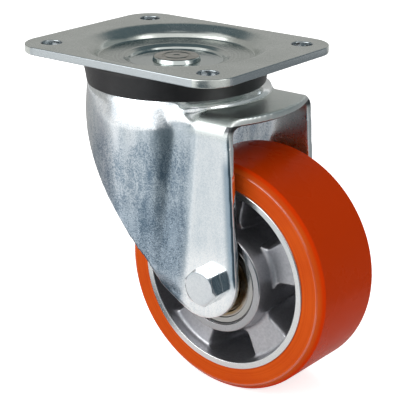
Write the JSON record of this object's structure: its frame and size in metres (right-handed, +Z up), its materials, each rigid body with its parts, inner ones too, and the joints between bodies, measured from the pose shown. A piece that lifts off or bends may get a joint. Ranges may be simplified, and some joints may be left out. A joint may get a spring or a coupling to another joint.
{
  "type": "swivel castor",
  "caption": "Plate-mounted swivel castor: dished bolt-on plate, pressed zinc fork on a double ball race, and an orange-red tyred aluminium wheel.",
  "frame": {"origin": "on the swivel axis, level with the top face of the mounting plate, at the centre of its four holes", "axes": "+Z up along the swivel axis, out of the plate's top face; +X horizontal, from the swivel axis towards the trailing wheel and along the plate's longer side; +Y along the axle, the nut's side"},
  "size_m": [0.18, 0.11, 0.175],
  "materials": {
    "plate_zinc": "satin, zinc plated",
    "fork_zinc": "bright zinc plated, slightly mottled",
    "bolt_zinc": "bright zinc plated",
    "race_steel": "zinc plated",
    "ball_steel": "polished",
    "bearing_steel": "ground and polished",
    "cage_steel": "pressed",
    "tube_steel": "turned, zinc plated",
    "seal_black": "satin black",
    "insert_nylon": "natural nylon",
    "wheel_aluminium": "die cast and turned",
    "tyre_polyurethane": "satin orange-red polyurethane"
  },
  "bodies": {
    "plate": {"top_plate": "plate_zinc", "king_pin": "plate_zinc", "lower_race_cup": "race_steel"},
    "fork": {"fork": "fork_zinc", "dust_seal": "seal_black", "axle_bolt": "bolt_zinc", "axle_nut": "bolt_zinc", "nut_insert": "insert_nylon", "axle_tube": "tube_steel", "spacer_left": "tube_steel", "spacer_right": "tube_steel", "inner_ring_left": "bearing_steel", "inner_ring_right": "bearing_steel"},
    "wheel": {"wheel_centre": "wheel_aluminium", "tyre": "tyre_polyurethane", "outer_ring_left": "bearing_steel", "outer_ring_right": "bearing_steel", "bearing_shield_left": "bearing_steel", "bearing_shield_right": "bearing_steel"},
    "upper_ball_row": {"upper_balls": "ball_steel"},
    "lower_ball_row": {"lower_balls": "ball_steel"},
    "left_bearing_row": {"bearing_balls_left": "ball_steel", "ball_cage_left": "cage_steel"},
    "right_bearing_row": {"bearing_balls_right": "ball_steel", "ball_cage_right": "cage_steel"}
  },
  "joints": [
    {"name": "swivel", "type": "hinge", "parent": "plate", "child": "fork", "pos_m": [0, 0, 0], "axis": [0, 0, 1], "continuous": true},
    {"name": "wheel_spin", "type": "hinge", "parent": "fork", "child": "wheel", "pos_m": [0.05, 0, -0.1125], "axis": [0, 1, 0], "continuous": true},
    {"name": "upper_balls_orbit", "type": "hinge", "parent": "plate", "child": "upper_ball_row", "pos_m": [0, 0, 0], "axis": [0, 0, 1], "continuous": true},
    {"name": "lower_balls_orbit", "type": "hinge", "parent": "plate", "child": "lower_ball_row", "pos_m": [0, 0, 0], "axis": [0, 0, 1], "continuous": true},
    {"name": "left_balls_orbit", "type": "hinge", "parent": "fork", "child": "left_bearing_row", "pos_m": [0.05, 0, -0.1125], "axis": [0, 1, 0], "continuous": true},
    {"name": "right_balls_orbit", "type": "hinge", "parent": "fork", "child": "right_bearing_row", "pos_m": [0.05, 0, -0.1125], "axis": [0, 1, 0], "continuous": true}
  ],
  "couplings": [
    {"joint": "upper_balls_orbit", "follows": "swivel", "ratio": 0.5},
    {"joint": "lower_balls_orbit", "follows": "swivel", "ratio": 0.5},
    {"joint": "left_balls_orbit", "follows": "wheel_spin", "ratio": 0.61851},
    {"joint": "right_balls_orbit", "follows": "wheel_spin", "ratio": 0.61851}
  ]
}
